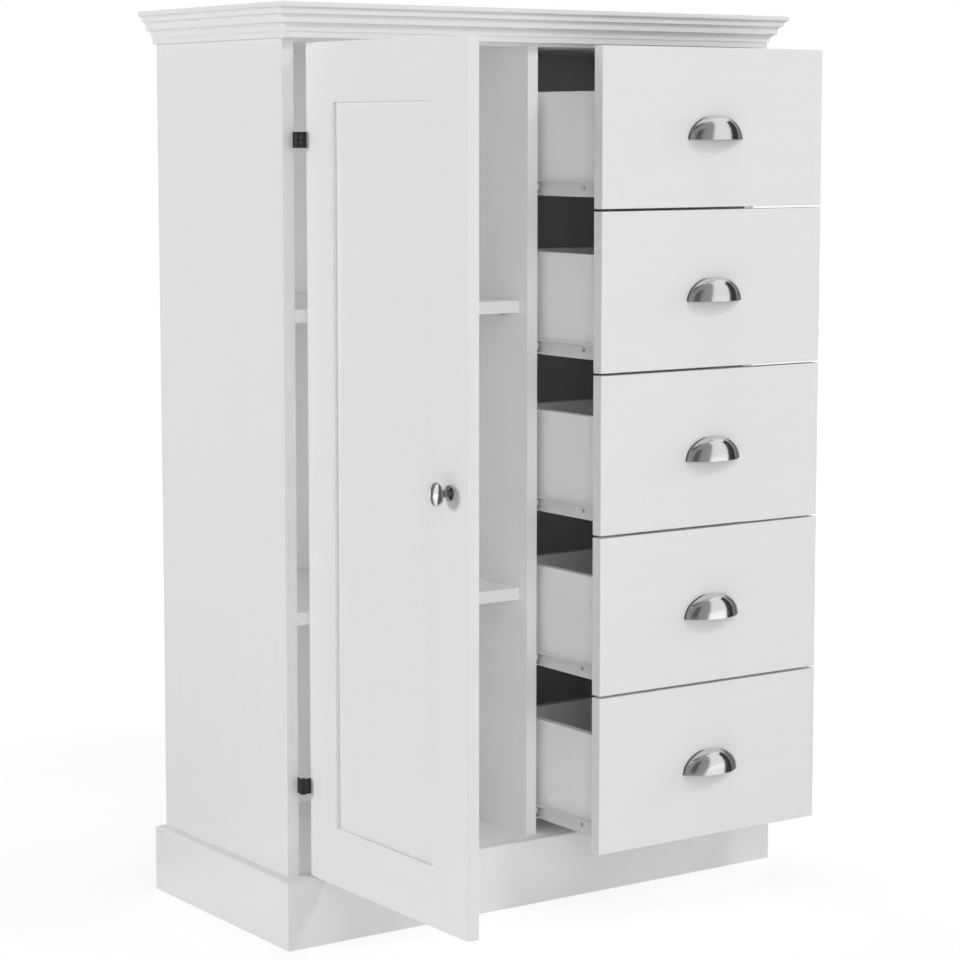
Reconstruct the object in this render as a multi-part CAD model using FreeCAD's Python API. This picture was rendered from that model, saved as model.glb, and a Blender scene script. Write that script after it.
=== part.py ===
import FreeCAD, Part
import math
import os

from FreeCAD import Vector

# Chifforobe: a tall cupboard bay with an inset door, beside a bank of five drawers.
# Millimetres. X runs across the front, Y runs from the front to the back, Z runs up.
# The origin is on the floor, at the centre of the plinth's footprint.
# The door and the drawers are shaped shut, then the door is swung open and the drawers are drawn out.

# Carcass boards
PANEL = 17.0
CARCASS_WIDTH = 800.0
CARCASS_DEPTH = 343.0
OPENING_HEIGHT = 1108.8
DOOR_BAY_WIDTH = 375.0
BACK_PANEL = 3.0
BACK_REBATE = 8.0

# Plinth
PLINTH_HEIGHT = 92.0
PLINTH_BOARD = 17.5
PLINTH_LEDGE = 29.2
PLINTH_ROUNDING = 3.0
REAR_RAIL = 16.0

# Top board and cornice; each height and step follows the moulding from its foot upwards
TOP_BOARD = 17.0
TOP_BOARD_EDGE = 7.0
TOP_BOARD_OVERHANG = 1.3
TOP_BOARD_ROUNDING = 2.4
TOP_PANEL_SHOWING = 4.4
CORNICE_PACKER = 14.0
FASCIA_THICKNESS = 6.0
FASCIA_HEIGHT = 8.2
FASCIA_STEP = 2.0
LOWER_COVE_HEIGHT = 11.1
LOWER_COVE_STEP = 8.5
BAND_HEIGHT = 6.0
UPPER_COVE_HEIGHT = 4.9
UPPER_COVE_STEP = 6.5
FILLET_HEIGHT = 3.0
CROWN_COVE_HEIGHT = 4.6
CROWN_COVE_STEP = 4.0

# Shelves and their pins
LOWER_SHELF_RISE = 352.6
SHELF_SPACING = 405.5
SHELF_PLAY = 0.5
SHELF_PIN_DIAMETER = 5.0
SHELF_PIN_DEPTH = 8.0
SHELF_PIN_REACH = 8.0
SHELF_PIN_INSET = 36.0

# Door frame and panel
DOOR_THICKNESS = 17.0
DOOR_SIDE_GAP = 1.2
DOOR_TOP_GAP = 1.8
DOOR_BOTTOM_GAP = 1.5
DOOR_STOP_GAP = 1.5
HINGE_STILE = 66.0
LATCH_STILE = 80.0
TOP_RAIL = 77.0
BOTTOM_RAIL = 78.0
DOOR_PANEL = 7.0
DOOR_GROOVE = 8.0
DOOR_PANEL_PLAY = 1.0
DOOR_ROUNDING = 1.0
DOOR_OPEN_ANGLE = 90.0

# Hinges: butt hinges whose knuckles stand forward of the closed door
HINGE_FORWARD = 11.0
HINGE_HEIGHT = 21.0
KNUCKLES = 3
HINGE_LEAF = 1.5
HINGE_BARREL_RADIUS = 4.2
HINGE_PIN_RADIUS = 2.0
HINGE_PIN_PLAY = 0.05
HINGE_KNUCKLE_GAP = 0.3
HINGE_TOP_INSET = 125.3
HINGE_BOTTOM_INSET = 122.5
CABINET_LEAF_DEPTH = 22.0
DOOR_LEAF_DEPTH = 14.0

# Knob: heights stand out from the door, radii from the knob's axis
KNOB_BASE_RADIUS = 9.9
KNOB_BASE_EDGE = 1.5
KNOB_NECK_RADIUS = 4.6
KNOB_NECK_START = 8.0
KNOB_NECK_END = 10.5
KNOB_HEAD_RADIUS = 15.2
KNOB_HEAD_BACK = 18.0
KNOB_HEAD_RIM = 3.4
KNOB_DOME = 3.8
KNOB_EDGE = 1.6
KNOB_FLAT_RADIUS = 3.0
KNOB_CURVE_STEPS = 3
KNOB_SIDES = 32

# Drawer fronts
DRAWER_COUNT = 5
DRAWER_GAP = 3.5
DRAWER_TOP_GAP = 2.0
DRAWER_OVERLAY = 7.5
DRAWER_FRONT = 17.5
DRAWER_STANDOFF = 1.5
DRAWER_ROUNDING = 1.0
DRAWER_DRAWN_OUT = 139.0

# Drawer boxes
BOX_WALL = 12.0
BOX_DEPTH = 235.0
BOX_TOP_DROP = 60.0
BOX_FOOT_DROP = 203.0
BOX_BOTTOM = 3.0
BOX_BOTTOM_RISE = 10.0
BOX_GROOVE = 6.0

# Roller runners
RUNNER_SPACE = 12.0
RUNNER_STEEL = 1.2
RUNNER_SETBACK = 3.0
RUNNER_LENGTH = 250.0
RUNNER_PLAY = 0.5
RUNNER_SHELF = 10.0
RUNNER_FLANGE = 8.8
RUNNER_RISE = 2.0
ROLLER_RADIUS = 7.0
ROLLER_WIDTH = 6.5
ROLLER_PLAY = 0.3
ROLLER_STAND = 0.6
ROLLER_END = 10.0
ROLLER_SEAT = 0.1

# Cup pull
PULL_WIDTH = 95.0
PULL_HEIGHT = 33.0
PULL_PROJECTION = 25.0
PULL_WALL = 1.6
PULL_FLANGE = 2.4
PULL_FLANGE_THICKNESS = 1.4
PULL_TOP_ANGLE = 74.0
PULL_STEPS = 4
PULL_SIDES = 16

# Places across the width
left_outside = -CARCASS_WIDTH / 2
left_inside = left_outside + PANEL
right_outside = CARCASS_WIDTH / 2
right_inside = right_outside - PANEL
divider_left = left_inside + DOOR_BAY_WIDTH
divider_right = divider_left + PANEL

# Places from front to back
plinth_depth = PLINTH_LEDGE + CARCASS_DEPTH
plinth_face = -plinth_depth / 2
plinth_inside = plinth_face + PLINTH_BOARD
carcass_front = plinth_face + PLINTH_LEDGE
carcass_back = plinth_depth / 2
back_panel_face = carcass_back - BACK_PANEL
shelf_front = carcass_front + DOOR_THICKNESS + DOOR_STOP_GAP
cornice_inside = carcass_front - CORNICE_PACKER
front_back_face = carcass_front - DRAWER_STANDOFF
front_face = front_back_face - DRAWER_FRONT
box_rear = front_back_face + BOX_DEPTH

# Places in height
floor_top = PLINTH_HEIGHT
floor_underside = floor_top - PANEL
opening_top = floor_top + OPENING_HEIGHT
top_panel_top = opening_top + PANEL
cornice_bottom = opening_top + TOP_PANEL_SHOWING
cove_foot = cornice_bottom + FASCIA_HEIGHT
band_foot = cove_foot + LOWER_COVE_HEIGHT
band_top = band_foot + BAND_HEIGHT
fillet_foot = band_top + UPPER_COVE_HEIGHT
fillet_top = fillet_foot + FILLET_HEIGHT
cornice_top = fillet_top + CROWN_COVE_HEIGHT
total_height = cornice_top + TOP_BOARD_EDGE
side_top = total_height - TOP_BOARD
lower_shelf_top = floor_top + LOWER_SHELF_RISE
upper_shelf_top = lower_shelf_top + SHELF_SPACING

# The moulding's reach from the fascia's face
cove_reach = FASCIA_STEP + LOWER_COVE_STEP
fillet_reach = cove_reach + UPPER_COVE_STEP
crown_reach = fillet_reach + CROWN_COVE_STEP
top_board_reach = crown_reach + TOP_BOARD_OVERHANG

# The door, shut
door_left = left_inside + DOOR_SIDE_GAP
door_right = divider_left - DOOR_SIDE_GAP
door_bottom = floor_top + DOOR_BOTTOM_GAP
door_top = opening_top - DOOR_TOP_GAP
door_back = carcass_front + DOOR_THICKNESS
panel_front = carcass_front + (DOOR_THICKNESS - DOOR_PANEL) / 2
panel_back = panel_front + DOOR_PANEL
hinge_x = left_inside + DOOR_SIDE_GAP / 2
hinge_y = carcass_front - HINGE_FORWARD
hinge_heights = [door_bottom + HINGE_BOTTOM_INSET, door_top - HINGE_TOP_INSET]
knuckle = HINGE_HEIGHT / KNUCKLES

# Drawers, shut
drawers_top = opening_top - DRAWER_TOP_GAP
drawers_bottom = floor_top + DRAWER_GAP
front_height = (drawers_top - drawers_bottom - (DRAWER_COUNT - 1) * DRAWER_GAP) / DRAWER_COUNT
front_left = divider_right - DRAWER_OVERLAY
front_right = right_inside + DRAWER_OVERLAY
box_left = divider_right + RUNNER_SPACE
box_right = right_inside - RUNNER_SPACE
bay_middle = (divider_right + right_inside) / 2

# Runner section, in height above the foot of the drawer runner
track_floor = RUNNER_RISE + RUNNER_STEEL
track_roof = track_floor + 2 * (ROLLER_RADIUS + ROLLER_PLAY)
track_top = track_roof + RUNNER_STEEL
front_roller_rise = track_top + ROLLER_STAND - ROLLER_RADIUS
rear_roller_rise = track_floor + ROLLER_PLAY + ROLLER_RADIUS
runner_flange_rise = track_top + ROLLER_STAND + ROLLER_PLAY
runner_height = runner_flange_rise + RUNNER_STEEL

UP = Vector(0, 0, 1)
ACROSS = Vector(1, 0, 0)
BACKWARDS = Vector(0, 1, 0)
# A quarter circle's middle lies this share of the way across its corner
QUARTER_MIDDLE = 1 - math.sqrt(0.5)


def block(x_range, y_range, z_range):
    """A rectangular board between the given limits."""
    size = [limits[1] - limits[0] for limits in (x_range, y_range, z_range)]
    return Part.makeBox(*size, Vector(x_range[0], y_range[0], z_range[0]))


def flat_face(corners):
    """A flat face with the given corners."""
    return Part.Face(Part.makePolygon(corners + corners[:1]))


def prism(corners, direction):
    """A straight-sided outline, pushed along a direction."""
    return flat_face(corners).extrude(direction)


def stacked(levels):
    """A solid through a stack of similar outlines, flat-sided between each and the next."""
    faces = [flat_face(levels[0]), flat_face(levels[-1])]
    for lower, upper in zip(levels, levels[1:]):
        for corner in range(-1, len(lower) - 1):
            side = [lower[corner], lower[corner + 1], upper[corner + 1], upper[corner]]
            faces.append(flat_face(side))
    return Part.Solid(Part.Shell(faces))


def rounded(shape, radius, chosen):
    """The shape with the edges that chosen(edge) picks rounded over."""
    edges = [edge for edge in shape.Edges if chosen(edge)]
    return shape.makeFillet(radius, edges)


def lies_at_y(edge, y):
    """Whether a whole edge lies in the upright plane at y."""
    box = edge.BoundBox
    return abs(box.YMin - y) < 1e-6 and abs(box.YMax - y) < 1e-6


def lies_at_x(edge, x):
    """Whether a whole edge lies in the upright plane at x."""
    box = edge.BoundBox
    return abs(box.XMin - x) < 1e-6 and abs(box.XMax - x) < 1e-6


def is_level(edge):
    """Whether an edge runs level."""
    return edge.BoundBox.ZLength < 1e-6


def mirrored_pair(shape, middle):
    """A shape and its mirror image across the upright plane x = middle."""
    return [shape, shape.mirror(Vector(middle, 0, 0), ACROSS)]


def front_mitre_plan(half_width, inside, reach, z_range):
    """Room for a front moulding between its two mitres."""
    corners = [
        Vector(-half_width, inside, z_range[0]),
        Vector(-half_width - reach, inside - reach, z_range[0]),
        Vector(half_width + reach, inside - reach, z_range[0]),
        Vector(half_width, inside, z_range[0]),
    ]
    return prism(corners, UP * (z_range[1] - z_range[0]))


def left_mitre_plan(half_width, inside, reach, z_range):
    """Room for a left-hand moulding, from its front mitre to the carcass back."""
    corners = [
        Vector(-half_width, inside, z_range[0]),
        Vector(-half_width, carcass_back, z_range[0]),
        Vector(-half_width - reach, carcass_back, z_range[0]),
        Vector(-half_width - reach, inside - reach, z_range[0]),
    ]
    return prism(corners, UP * (z_range[1] - z_range[0]))


# Carcass

def hinge_recess(height):
    """The shallow recess in the left side panel for one cabinet leaf."""
    return block(
        (left_inside - HINGE_LEAF, left_inside),
        (carcass_front, carcass_front + CABINET_LEAF_DEPTH),
        (height - HINGE_HEIGHT / 2, height + HINGE_HEIGHT / 2),
    )


def side_panel(x_range, rebate_range):
    """A side panel on the floor, rebated at its rear inner edge for the back panel."""
    panel = block(x_range, (carcass_front, carcass_back), (0, side_top))
    rebate = block(rebate_range, (back_panel_face, carcass_back), (floor_underside, side_top))
    return panel.cut(rebate)


def left_side_panel():
    """The side panel that carries the hinges and one end of the shelves."""
    panel = side_panel((left_outside, left_inside), (left_inside - BACK_REBATE, left_inside))
    for height in hinge_heights:
        panel = panel.cut(hinge_recess(height))
    return panel.cut(Part.makeCompound(shelf_pins()))


def right_side_panel():
    """The side panel that carries the right-hand cabinet runners."""
    return side_panel((right_inside, right_outside), (right_inside, right_inside + BACK_REBATE))


def centre_divider():
    """The upright between the door bay and the drawers."""
    divider = block(
        (divider_left, divider_right), (carcass_front, back_panel_face), (floor_top, opening_top)
    )
    return divider.cut(Part.makeCompound(shelf_pins()))


def bottom_panel():
    """The cupboard floor, level with the plinth's top and wide in front of the side panels."""
    corners = [
        Vector(left_outside, plinth_inside, floor_underside),
        Vector(right_outside, plinth_inside, floor_underside),
        Vector(right_outside, carcass_front, floor_underside),
        Vector(right_inside, carcass_front, floor_underside),
        Vector(right_inside, back_panel_face, floor_underside),
        Vector(left_inside, back_panel_face, floor_underside),
        Vector(left_inside, carcass_front, floor_underside),
        Vector(left_outside, carcass_front, floor_underside),
    ]
    return prism(corners, UP * PANEL)


def top_panel():
    """The carcass top between the side panels, under the cornice."""
    return block(
        (left_inside, right_inside), (carcass_front, back_panel_face), (opening_top, top_panel_top)
    )


def back_panel():
    """The thin back, set in the side panels' rebates."""
    return block(
        (left_inside - BACK_REBATE, right_inside + BACK_REBATE),
        (back_panel_face, carcass_back),
        (floor_underside, side_top),
    )


def shelf(top):
    """A loose shelf in the door bay; its front edge also stops the door."""
    return block(
        (left_inside + SHELF_PLAY, divider_left - SHELF_PLAY),
        (shelf_front, back_panel_face - SHELF_PLAY),
        (top - PANEL, top),
    )


def shelf_pins():
    """Four pins under each shelf, half sunk in the upright beside it."""
    length = SHELF_PIN_DEPTH + SHELF_PIN_REACH
    starts = [left_inside - SHELF_PIN_DEPTH, divider_left - SHELF_PIN_REACH]
    depths = [shelf_front + SHELF_PIN_INSET, back_panel_face - SHELF_PIN_INSET]
    pins = []
    for shelf_top in (lower_shelf_top, upper_shelf_top):
        height = shelf_top - PANEL - SHELF_PIN_DIAMETER / 2
        for start in starts:
            for depth in depths:
                foot = Vector(start, depth, height)
                pins.append(Part.makeCylinder(SHELF_PIN_DIAMETER / 2, length, foot, ACROSS))
    return pins


# Plinth

def plinth_section(place):
    """A plinth board's section, rounded at its outer top edge; place(out, up) sets each point."""
    corner = PLINTH_BOARD - PLINTH_ROUNDING
    shoulder = PLINTH_HEIGHT - PLINTH_ROUNDING
    middle = PLINTH_ROUNDING * QUARTER_MIDDLE
    edges = [
        Part.makeLine(place(0, 0), place(PLINTH_BOARD, 0)),
        Part.makeLine(place(PLINTH_BOARD, 0), place(PLINTH_BOARD, shoulder)),
        Part.Arc(
            place(PLINTH_BOARD, shoulder),
            place(PLINTH_BOARD - middle, PLINTH_HEIGHT - middle),
            place(corner, PLINTH_HEIGHT),
        ).toShape(),
        Part.makeLine(place(corner, PLINTH_HEIGHT), place(0, PLINTH_HEIGHT)),
        Part.makeLine(place(0, PLINTH_HEIGHT), place(0, 0)),
    ]
    return Part.Face(Part.Wire(edges))


def plinth_front():
    """The plinth's front board, mitred at both ends."""
    start = left_outside - PLINTH_BOARD
    section = plinth_section(lambda out, up: Vector(start, plinth_inside - out, up))
    board = section.extrude(ACROSS * (CARCASS_WIDTH + 2 * PLINTH_BOARD))
    plan = front_mitre_plan(CARCASS_WIDTH / 2, plinth_inside, PLINTH_BOARD, (0, PLINTH_HEIGHT))
    return board.common(plan)


def plinth_left():
    """The plinth's left board, outside the side panel."""
    section = plinth_section(lambda out, up: Vector(left_outside - out, plinth_face, up))
    board = section.extrude(BACKWARDS * plinth_depth)
    plan = left_mitre_plan(CARCASS_WIDTH / 2, plinth_inside, PLINTH_BOARD, (0, PLINTH_HEIGHT))
    return board.common(plan)


def plinth_rear_rail():
    """The rail under the cupboard floor, between the side panels at the back."""
    return block(
        (left_inside, right_inside), (carcass_back - REAR_RAIL, carcass_back), (0, floor_underside)
    )


def plinth_centre_support():
    """The upright under the cupboard floor that carries the divider's load to the ground."""
    return block(
        (divider_left, divider_right),
        (plinth_inside, carcass_back - REAR_RAIL),
        (0, floor_underside),
    )


# Cornice and top board

def cove(place, foot, head):
    """A hollow quarter round from foot to head, each an (out, up) pair."""
    middle_out = foot[0] + (head[0] - foot[0]) * QUARTER_MIDDLE
    middle_up = head[1] - (head[1] - foot[1]) * QUARTER_MIDDLE
    return Part.Arc(place(*foot), place(middle_out, middle_up), place(*head)).toShape()


def cornice_section(place):
    """The moulding's section; place(out, up) measures out from the fascia's face."""
    back_foot = (-FASCIA_THICKNESS, cornice_bottom)
    back_head = (-FASCIA_THICKNESS, cornice_top)
    points = [
        back_foot,
        (0, cornice_bottom),
        (0, cove_foot),
        (FASCIA_STEP, cove_foot),
    ]
    edges = [Part.makeLine(place(*a), place(*b)) for a, b in zip(points, points[1:])]
    edges.append(cove(place, (FASCIA_STEP, cove_foot), (cove_reach, band_foot)))
    edges.append(Part.makeLine(place(cove_reach, band_foot), place(cove_reach, band_top)))
    edges.append(cove(place, (cove_reach, band_top), (fillet_reach, fillet_foot)))
    edges.append(Part.makeLine(place(fillet_reach, fillet_foot), place(fillet_reach, fillet_top)))
    edges.append(cove(place, (fillet_reach, fillet_top), (crown_reach, cornice_top)))
    edges.append(Part.makeLine(place(crown_reach, cornice_top), place(*back_head)))
    edges.append(Part.makeLine(place(*back_head), place(*back_foot)))
    return Part.Face(Part.Wire(edges))


def cornice_front():
    """The front moulding, mitred at both ends."""
    face = cornice_inside - FASCIA_THICKNESS
    reach = FASCIA_THICKNESS + crown_reach
    start = left_outside - reach
    section = cornice_section(lambda out, up: Vector(start, face - out, up))
    moulding = section.extrude(ACROSS * (CARCASS_WIDTH + 2 * reach))
    heights = (cornice_bottom, cornice_top)
    return moulding.common(front_mitre_plan(CARCASS_WIDTH / 2, cornice_inside, reach, heights))


def cornice_left():
    """The left moulding, mitred to the front one and square at the back."""
    face = left_outside - FASCIA_THICKNESS
    reach = FASCIA_THICKNESS + crown_reach
    start = cornice_inside - reach
    section = cornice_section(lambda out, up: Vector(face - out, start, up))
    moulding = section.extrude(BACKWARDS * (carcass_back - start))
    heights = (cornice_bottom, cornice_top)
    return moulding.common(left_mitre_plan(CARCASS_WIDTH / 2, cornice_inside, reach, heights))


def cornice_packer():
    """The strip between the carcass front and the front moulding."""
    return block(
        (left_outside, right_outside), (cornice_inside, carcass_front), (cornice_bottom, side_top)
    )


def top_board():
    """The top, rebated underneath so that its rounded edge rests on the mouldings."""
    reach = FASCIA_THICKNESS + top_board_reach
    sides = (left_outside - reach, right_outside + reach)
    front = cornice_inside - reach
    slab = block(sides, (front, carcass_back), (cornice_top, total_height))
    slab = rounded(
        slab,
        TOP_BOARD_ROUNDING,
        lambda edge: is_level(edge)
        and (lies_at_y(edge, front) or lies_at_x(edge, sides[0]) or lies_at_x(edge, sides[1])),
    )
    core = block(
        (left_outside, right_outside), (cornice_inside, carcass_back), (side_top, cornice_top)
    )
    return slab.fuse(core).removeSplitter()


# Door

def open_door(shape):
    """Swings a door piece from shut to its resting angle."""
    return shape.rotated(Vector(hinge_x, hinge_y, 0), UP, -DOOR_OPEN_ANGLE)


def stile(x_range, groove_range, outer_x):
    """A full-height upright of the door frame, grooved along its inner edge."""
    board = block(x_range, (carcass_front, door_back), (door_bottom, door_top))
    board = rounded(board, DOOR_ROUNDING, lambda edge: lies_at_x(edge, outer_x))
    groove = block(groove_range, (panel_front, panel_back), (door_bottom, door_top))
    return board.cut(groove)


def hinge_stile():
    """The upright at the hinges, with a recess for each door leaf."""
    inner = door_left + HINGE_STILE
    board = stile((door_left, inner), (inner - DOOR_GROOVE, inner), door_left)
    for height in hinge_heights:
        recess = block(
            (door_left, door_left + HINGE_LEAF),
            (carcass_front, carcass_front + DOOR_LEAF_DEPTH),
            (height - HINGE_HEIGHT / 2, height + HINGE_HEIGHT / 2),
        )
        board = board.cut(recess)
    return board


def latch_stile():
    """The upright that carries the knob."""
    inner = door_right - LATCH_STILE
    return stile((inner, door_right), (inner, inner + DOOR_GROOVE), door_right)


def rail(z_range, groove_range):
    """A crosspiece of the door frame, with a stub tenon in each stile's groove."""
    left = door_left + HINGE_STILE
    right = door_right - LATCH_STILE
    board = block((left, right), (carcass_front, door_back), z_range)
    tenon = block((left - DOOR_GROOVE, right + DOOR_GROOVE), (panel_front, panel_back), z_range)
    groove = block(
        (left - DOOR_GROOVE, right + DOOR_GROOVE), (panel_front, panel_back), groove_range
    )
    return board.fuse(tenon).removeSplitter().cut(groove)


def top_rail():
    """The upper crosspiece, grooved along its lower edge."""
    foot = door_top - TOP_RAIL
    return rail((foot, door_top), (foot, foot + DOOR_GROOVE))


def bottom_rail():
    """The lower crosspiece, grooved along its upper edge."""
    head = door_bottom + BOTTOM_RAIL
    return rail((door_bottom, head), (head - DOOR_GROOVE, head))


def door_panel():
    """The flat panel, a little short of the bottom of its grooves."""
    overlap = DOOR_GROOVE - DOOR_PANEL_PLAY
    return block(
        (door_left + HINGE_STILE - overlap, door_right - LATCH_STILE + overlap),
        (panel_front, panel_back),
        (door_bottom + BOTTOM_RAIL - overlap, door_top - TOP_RAIL + overlap),
    )


def quarter_curve(start, end):
    """Points of a quarter ellipse that leaves start along the axis and meets end square to it."""
    points = []
    for step in range(KNOB_CURVE_STEPS + 1):
        angle = math.radians(90 * step / KNOB_CURVE_STEPS)
        radius = start[0] + (end[0] - start[0]) * (1 - math.cos(angle))
        out = start[1] + (end[1] - start[1]) * math.sin(angle)
        points.append((radius, out))
    return points


def knob_ring(axis_x, axis_z, radius, out):
    """The knob's outline at one height above the door."""
    corners = []
    for side in range(KNOB_SIDES):
        angle = 2 * math.pi * side / KNOB_SIDES
        across = radius * math.cos(angle)
        rise = radius * math.sin(angle)
        corners.append(Vector(axis_x + across, carcass_front - out, axis_z + rise))
    return corners


def door_knob():
    """A turned knob in the middle of the latch stile: waisted stem, lens-shaped head."""
    rim_radius = KNOB_HEAD_RADIUS - KNOB_EDGE
    rim_front = KNOB_HEAD_BACK + KNOB_HEAD_RIM
    base_edge = (KNOB_BASE_RADIUS, KNOB_BASE_EDGE)
    stem = quarter_curve((KNOB_NECK_RADIUS, KNOB_NECK_START), base_edge)
    flare = quarter_curve((KNOB_NECK_RADIUS, KNOB_NECK_END), (rim_radius, KNOB_HEAD_BACK))
    dome = quarter_curve((rim_radius, rim_front), (KNOB_FLAT_RADIUS, rim_front + KNOB_DOME))
    outline = [(KNOB_BASE_RADIUS, 0)]
    outline += stem[::-1]
    outline += flare
    outline += [(KNOB_HEAD_RADIUS, KNOB_HEAD_BACK + KNOB_HEAD_RIM / 2)]
    outline += dome
    axis_x = door_right - LATCH_STILE / 2
    axis_z = (door_bottom + door_top) / 2
    return stacked([knob_ring(axis_x, axis_z, radius, out) for radius, out in outline])


# Hinges

def knuckle_cylinder(height, start, end, radius):
    """A stretch of the hinge barrel; start and end count in knuckles from the barrel's foot."""
    foot = height - HINGE_HEIGHT / 2 + start * knuckle
    centre = Vector(hinge_x, hinge_y, foot)
    return Part.makeCylinder(radius, (end - start) * knuckle, centre, UP)


def knuckle_gap(height, level):
    """The thin disc of air between two knuckles, level knuckles above the barrel's foot."""
    middle = height - HINGE_HEIGHT / 2 + level * knuckle
    centre = Vector(hinge_x, hinge_y, middle - HINGE_KNUCKLE_GAP / 2)
    return Part.makeCylinder(HINGE_BARREL_RADIUS + HINGE_KNUCKLE_GAP, HINGE_KNUCKLE_GAP, centre, UP)


def leaf(height, x_range, depth, own, other):
    """One hinge leaf: a flat plate with its own knuckles, clear of the other leaf's knuckles."""
    z_range = (height - HINGE_HEIGHT / 2, height + HINGE_HEIGHT / 2)
    plate = block(x_range, (hinge_y, carcass_front + depth), z_range)
    for start, end in own:
        plate = plate.fuse(knuckle_cylinder(height, start, end, HINGE_BARREL_RADIUS))
    for start, end in other:
        plate = plate.cut(
            knuckle_cylinder(height, start, end, HINGE_BARREL_RADIUS + HINGE_KNUCKLE_GAP)
        )
    for level in (1, KNUCKLES - 1):
        plate = plate.cut(knuckle_gap(height, level))
    bore = knuckle_cylinder(height, 0, KNUCKLES, HINGE_PIN_RADIUS + HINGE_PIN_PLAY)
    return plate.cut(bore).removeSplitter()


def cabinet_leaves():
    """The leaves let into the side panel, with the outer knuckles."""
    x_range = (left_inside - HINGE_LEAF, left_inside)
    outer = [(0, 1), (KNUCKLES - 1, KNUCKLES)]
    middle = [(1, KNUCKLES - 1)]
    return [leaf(height, x_range, CABINET_LEAF_DEPTH, outer, middle) for height in hinge_heights]


def door_leaves():
    """The leaves let into the door's edge, with the middle knuckle."""
    x_range = (door_left, door_left + HINGE_LEAF)
    outer = [(0, 1), (KNUCKLES - 1, KNUCKLES)]
    middle = [(1, KNUCKLES - 1)]
    return [leaf(height, x_range, DOOR_LEAF_DEPTH, middle, outer) for height in hinge_heights]


def hinge_pins():
    """A pin through each barrel."""
    return [knuckle_cylinder(height, 0, KNUCKLES, HINGE_PIN_RADIUS) for height in hinge_heights]


# Runners

def roller(seat, direction):
    """A plain nylon roller; seat is the middle of the web that it turns against."""
    return Part.makeCylinder(ROLLER_RADIUS, ROLLER_WIDTH, seat + direction * ROLLER_SEAT, direction)


def cabinet_runner(foot):
    """The left cabinet runner of one drawer: a channel that opens towards the drawer."""
    wall = divider_right
    reach = RUNNER_SPACE - RUNNER_STEEL - RUNNER_PLAY
    start = carcass_front + RUNNER_SETBACK
    bottom = foot + RUNNER_RISE
    corners = [
        Vector(wall, start, bottom),
        Vector(wall + reach, start, bottom),
        Vector(wall + reach, start, foot + track_floor),
        Vector(wall + RUNNER_STEEL, start, foot + track_floor),
        Vector(wall + RUNNER_STEEL, start, foot + track_roof),
        Vector(wall + reach, start, foot + track_roof),
        Vector(wall + reach, start, foot + track_top),
        Vector(wall, start, foot + track_top),
    ]
    channel = prism(corners, BACKWARDS * RUNNER_LENGTH)
    roller_room = block(
        (wall + RUNNER_STEEL, wall + reach),
        (start, start + ROLLER_END + ROLLER_RADIUS + RUNNER_PLAY),
        (foot + track_roof, foot + track_top),
    )
    return channel.cut(roller_room)


def cabinet_roller(foot):
    """The roller at the front of the left cabinet runner."""
    depth = carcass_front + RUNNER_SETBACK + ROLLER_END
    return roller(Vector(divider_right + RUNNER_STEEL, depth, foot + front_roller_rise), ACROSS)


def drawer_runner(foot):
    """The left drawer runner: a shelf under the box side, a web, and a flange over the roller."""
    web = box_left - RUNNER_STEEL
    corners = [
        Vector(web, front_back_face, foot),
        Vector(box_left + RUNNER_SHELF, front_back_face, foot),
        Vector(box_left + RUNNER_SHELF, front_back_face, foot + RUNNER_STEEL),
        Vector(box_left, front_back_face, foot + RUNNER_STEEL),
        Vector(box_left, front_back_face, foot + runner_height),
        Vector(web - RUNNER_FLANGE, front_back_face, foot + runner_height),
        Vector(web - RUNNER_FLANGE, front_back_face, foot + runner_flange_rise),
        Vector(web, front_back_face, foot + runner_flange_rise),
    ]
    return prism(corners, BACKWARDS * BOX_DEPTH)


def drawer_roller(foot):
    """The roller at the back of the left drawer runner."""
    seat = Vector(box_left - RUNNER_STEEL, box_rear - ROLLER_END, foot + rear_roller_rise)
    return roller(seat, ACROSS * -1)


# Drawers

def drawer_top(number):
    """The top edge of a drawer front; drawer 1 is at the top."""
    return drawers_top - (number - 1) * (front_height + DRAWER_GAP)


def drawer_foot(number):
    """The foot of a drawer's runners."""
    return drawer_top(number) - BOX_FOOT_DROP


def bottom_heights(foot):
    """The underside and top of a drawer's thin bottom."""
    underside = foot + RUNNER_STEEL + BOX_BOTTOM_RISE
    return (underside, underside + BOX_BOTTOM)


def box_bottom(foot):
    """The thin bottom, held in grooves at the front and both sides, under the box back."""
    return block(
        (box_left + BOX_WALL - BOX_GROOVE, box_right - BOX_WALL + BOX_GROOVE),
        (front_back_face - BOX_GROOVE, box_rear),
        bottom_heights(foot),
    )


def drawer_front(top, foot):
    """A flat front, lapped over the uprights beside it and grooved for the bottom."""
    board = block(
        (front_left, front_right), (front_face, front_back_face), (top - front_height, top)
    )
    board = rounded(board, DRAWER_ROUNDING, lambda edge: lies_at_y(edge, front_face))
    return board.cut(box_bottom(foot))


def box_sides(top, foot):
    """The two side walls of the box, grooved for the bottom."""
    wall = block(
        (box_left, box_left + BOX_WALL),
        (front_back_face, box_rear),
        (foot + RUNNER_STEEL, top - BOX_TOP_DROP),
    )
    return mirrored_pair(wall.cut(box_bottom(foot)), bay_middle)


def box_back(top, foot):
    """The rear wall of the box, between the sides and over the bottom."""
    return block(
        (box_left + BOX_WALL, box_right - BOX_WALL),
        (box_rear - BOX_WALL, box_rear),
        (bottom_heights(foot)[1], top - BOX_TOP_DROP),
    )


def half_moon(centre, half_width, reach, direction):
    """The corners of a half ellipse that bulges from centre along a direction, end to end."""
    corners = []
    for step in range(PULL_SIDES + 1):
        angle = math.pi * step / PULL_SIDES
        across = ACROSS * (half_width * math.cos(angle))
        corners.append(centre + across + direction * (reach * math.sin(angle)))
    return corners


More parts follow.
